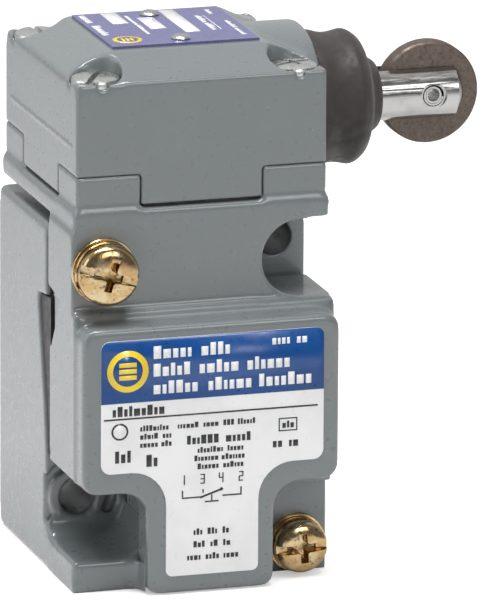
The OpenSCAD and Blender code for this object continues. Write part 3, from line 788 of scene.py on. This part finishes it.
def words(x0, x1, z, h, seed, spaces=2):
    """A line of generic blocks standing for lettering, with a few word spaces."""
    rng = np.random.default_rng(seed)
    breaks = np.linspace(x0, x1, spaces + 2)[1:-1] + rng.uniform(-0.6, 0.6, spaces) * h
    out, x = [], x0
    while x < x1 - 0.3 * h:
        w = h * rng.uniform(0.28, 0.62)
        tall = h * (1 if rng.random() < 0.3 else 0.72)
        if not any(x - 0.25 * h < k < x + w for k in breaks):
            out.append((x, z - h / 2, min(x + w, x1), z - h / 2 + tall))
        x += w + 0.17 * h
    return out


def band_outline():
    return (arc(LW - 1.4, LT - 1.4, 1.4, 0, 90) + arc(-LW + 1.4, LT - 1.4, 1.4, 90, 180)
            + [(-LW, 31.2), (LW, 31.2)])


ink("print_band", BLUE, [band_outline()], 0.0)
ink("print_band_words", WHITE, (
    words(-9.5, 3.2, 38.9, 2.0, 1, 1) + words(-9.5, 12.3, 36.1, 2.0, 2, 2)
    + words(-9.5, 15.8, 33.3, 2.0, 3, 2) + words(9.5, 15.2, 39.5, 1.4, 4, 1)), 0.02)
EMBLEM = (-13.6, 36.2, 3.3)
cx, cz, r = EMBLEM
ink("print_emblem", YELLOW, [arc(cx, cz, r, 0, 360, 48)[:-1]], 0.02)
ink("print_emblem_inner", BLUE, [arc(cx, cz, r * 0.72, 0, 360, 48)[:-1]], 0.035)
bars = [(cx - 1.4, cz - 0.35 + d, cx + 1.4, cz + 0.35 + d) for d in (-1, 0, 1)]
ink("print_emblem_bars", YELLOW, bars, 0.05)


SEGMENTS = {"a": (0.1, 1.78, 0.9, 2), "b": (0.75, 1, 1, 2), "c": (0.75, 0, 1, 1), "d": (0.1, 0, 0.9, 0.22),
            "e": (0, 0, 0.25, 1), "f": (0, 1, 0.25, 2), "g": (0.1, 0.89, 0.9, 1.11)}
DIGITS = {"1": "bc", "2": "abged", "3": "abgcd", "4": "fgbc"}


def digit(kind, x, z, size):
    made = []
    for key in DIGITS[kind]:
        x0, z0, x1, z1 = SEGMENTS[key]
        made.append((x + size * x0, z + size * z0, x + size * x1, z + size * z1))
    return made


def stroke(x0, z0, x1, z1, w=0.22):
    dx, dz = x1 - x0, z1 - z0
    n = math.hypot(dx, dz)
    ox, oz = -dz / n * w / 2, dx / n * w / 2
    return [(x0 + ox, z0 + oz), (x0 - ox, z0 - oz), (x1 - ox, z1 - oz), (x1 + ox, z1 + oz)]


def frame_of(x0, z0, x1, z1, w=0.18):
    return [(x0, z0, x1, z0 + w), (x0, z1 - w, x1, z1), (x0, z0, x0 + w, z1), (x1 - w, z0, x1, z1)]


black = words(-16.0, -7.6, 29.9, 1.6, 11, 0)
black += [(-17.4, 28.55, 16.9, 28.8)]
black += words(-11.6, -6.8, 27.0, 0.9, 12, 0) + words(-11.6, -6.6, 25.7, 0.9, 13, 1)
black += words(-11.6, -6.6, 24.4, 0.9, 14, 1)
black += words(-5.6, 6.8, 27.0, 0.9, 15, 3) + words(-4.1, 6.3, 24.6, 1.4, 16, 1)
black += words(-2.4, 5.0, 22.9, 0.9, 17, 1) + words(-2.9, 5.4, 21.6, 0.9, 18, 1)
black += words(-2.4, 5.0, 20.3, 0.9, 19, 1)
black += words(-3.0, 3.0, 9.9, 1.0, 20, 2) + words(-3.0, 3.2, 7.9, 1.0, 21, 2)
black += words(-4.0, 4.2, 5.9, 1.0, 22, 2)
black += frame_of(10.6, 24.9, 13.6, 27.0) + words(11.2, 13.2, 25.95, 1.1, 23, 0)
black += words(9.7, 13.8, 23.1, 1.4, 24, 1)
black += words(-15.6, -12.6, 22.7, 1.9, 25, 0) + words(-10.6, -8.1, 21.8, 1.9, 26, 0)
for k, x in zip("1342", (-5.2, -2.0, 1.0, 4.2)):
    black += digit(k, x, 17.5, 0.78)
black += [stroke(-4.8, 16.6, -4.8, 15.4), stroke(4.6, 16.6, 4.6, 15.4), stroke(-4.9, 15.4, -1.9, 15.4)]
black += [stroke(1.6, 15.4, 4.7, 15.4), stroke(-2.0, 15.3, 1.7, 16.5, 0.3), stroke(-1.5, 16.6, -1.5, 16.0)]
black += [stroke(1.4, 16.7, 1.4, 16.2), stroke(-0.1, 15.7, -0.1, 14.6), stroke(-1.2, 14.6, 1.0, 14.6)]
ink("print_black_marks", BLACK, black, 0.0)
cx, cz, r = -14.85, 26.7, 1.35
ink("print_round_mark", BLACK, [arc(cx, cz, r, 0, 360, 32)[:-1]], 0.0)
ink("print_round_mark_inner", WHITE, [arc(cx, cz, r * 0.78, 0, 360, 32)[:-1]], 0.02)


def top_ink(name, mat, rects, z0):
    parts = []
    for x0, y0, x1, y1 in rects:
        parts.append(box_mesh((x0, y0, z0 - 0.05), (x1, y1, z0)))
    add_piece(name, *merged(*parts), mat, "base", sharp=None)


def column(x, y0, y1, h, seed, spaces=1):
    """A line of blocks that runs along Y."""
    return [(x - h / 2, a, x - h / 2 + (d - c), b) for a, c, b, d in words(y0, y1, x, h, seed, spaces)]


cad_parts["nameplate"].data.materials.clear()
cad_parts["nameplate"].data.materials.append(PLATE_BLUE)
panels = [(-7.3, 3.5, -4.8, 11.0), (-2.6, -1.2, -0.1, 6.7), (2.0, -4.7, 4.4, 10.8)]
top_ink("plate_panels", WHITE, panels, ROOF + 0.02)
fine = column(-10.3, -3.5, 10.5, 1.4, 31) + column(-3.8, -4.4, 8.7, 0.7, 32)
fine += column(6.9, -4.1, 5.7, 1.0, 33)
fine += column(10.3, -8.4, 1.6, 0.8, 34) + column(9.5, 6.4, 9.6, 0.8, 35, 0) + [(7.75, -4.1, 7.9, 5.7)]
top_ink("plate_fine_print", WHITE, fine, ROOF + 0.02)
emblem = []
for r, z in ((2.3, ROOF + 0.02), (1.65, ROOF + 0.035)):
    v, f = lathe([(z - 0.05, 0), (z - 0.05, r), (z, r), (z, 0)], 40)
    emblem.append((v + (-8.2, -7.2, 0), f))
add_piece("plate_emblem", *emblem[0], YELLOW, "base", sharp=None)
add_piece("plate_emblem_inner", *emblem[1], PLATE_BLUE, "base", sharp=None)
bars = [(-8.2 - 0.22 + d, -8.1, -8.2 + 0.22 + d, -6.3) for d in (-0.7, 0, 0.7)]
top_ink("plate_emblem_bars", YELLOW, bars, ROOF + 0.05)

pins = []
for y in (-8.5, 8.5):
    v, f = lathe([(0, 0), (0, 1.4), (0.12, 1.55), (0.35, 1.42), (0.6, 1.0), (0.74, 0.5), (0.78, 0)], 40)
    pins.append((v + (0, y, ROOF), f))
add_piece("drive_pins", *merged(*pins), PLATED, "base", ("nameplate_pins",))


# ---- floor, light and camera ----

make_camera()

SKY_LOW, SKY_HIGH = 0.40, 0.52
SKY_FRONT, SKY_BACK = 0.3, 1.4
LEFT_POWER, FRONT_POWER, TOP_POWER = 0.7, 0.85, 2.8
FLOOR_LIFT = 0.42

size = 3.0
me = bpy.data.meshes.new("floor")
me.from_pydata([(-size, -size, 0), (size, -size, 0), (size, size, 0), (-size, size, 0)], [], [(0, 1, 2, 3)])
floor = bpy.data.objects.new("floor", me)
scene.collection.objects.link(floor)
white = Nodes("floor_white", (0.9, 0.9, 0.9), 0.9)
# lifted a little where the camera looks straight at it, so that shadows stay pale
floor_tree = white.mat.node_tree
lift = floor_tree.nodes.new("ShaderNodeMath")
lift.operation = "MULTIPLY"
lift.inputs[1].default_value = FLOOR_LIFT
floor_tree.links.new(floor_tree.nodes.new("ShaderNodeLightPath").outputs["Is Camera Ray"], lift.inputs[0])
shader = next(n for n in floor_tree.nodes if n.type == "BSDF_PRINCIPLED")
shader.inputs["Emission Color"].default_value = (1, 1, 1, 1)
floor_tree.links.new(lift.outputs[0], shader.inputs["Emission Strength"])
me.materials.append(white.mat)

world = bpy.data.worlds.new("world")
scene.world = world
world.use_nodes = True
tree = world.node_tree
sky = tree.nodes["Background"]
split = tree.nodes.new("ShaderNodeSeparateXYZ")
tree.links.new(tree.nodes.new("ShaderNodeTexCoord").outputs["Generated"], split.inputs[0])
factor = None
# brighter overhead and behind than on the camera's side, as in a light tent open at the front
for out, lo, hi, a, b in (("Z", 0.05, 0.8, SKY_LOW, SKY_HIGH), ("Y", -0.5, 0.45, SKY_FRONT, SKY_BACK)):
    part = tree.nodes.new("ShaderNodeMapRange")
    for key, value in (("From Min", lo), ("From Max", hi), ("To Min", a), ("To Max", b)):
        part.inputs[key].default_value = value
    tree.links.new(split.outputs[out], part.inputs["Value"])
    if factor:
        both = tree.nodes.new("ShaderNodeMath")
        both.operation = "MULTIPLY"
        tree.links.new(factor, both.inputs[0])
        tree.links.new(part.outputs["Result"], both.inputs[1])
        factor = both.outputs[0]
    else:
        factor = part.outputs["Result"]
# what the camera sees of it is plain white
seen = tree.nodes.new("ShaderNodeMath")
seen.operation = "MAXIMUM"
tree.links.new(factor, seen.inputs[0])
tree.links.new(tree.nodes.new("ShaderNodeLightPath").outputs["Is Camera Ray"], seen.inputs[1])
tree.links.new(seen.outputs[0], sky.inputs["Strength"])
sky.inputs["Color"].default_value = (1, 1, 1, 1)
scene.view_settings.view_transform = "Standard"

centre = place((5, 0, 40))
area_light("left", place((-520, 20, 230)), centre, (0.35, 0.4), LEFT_POWER)
area_light("top", place((-60, -80, 520)), centre, (0.45, 0.05), TOP_POWER)
area_light("front", place((140, -600, 330)), centre, (0.3, 0.2), FRONT_POWER)

lo, hi = cad_box
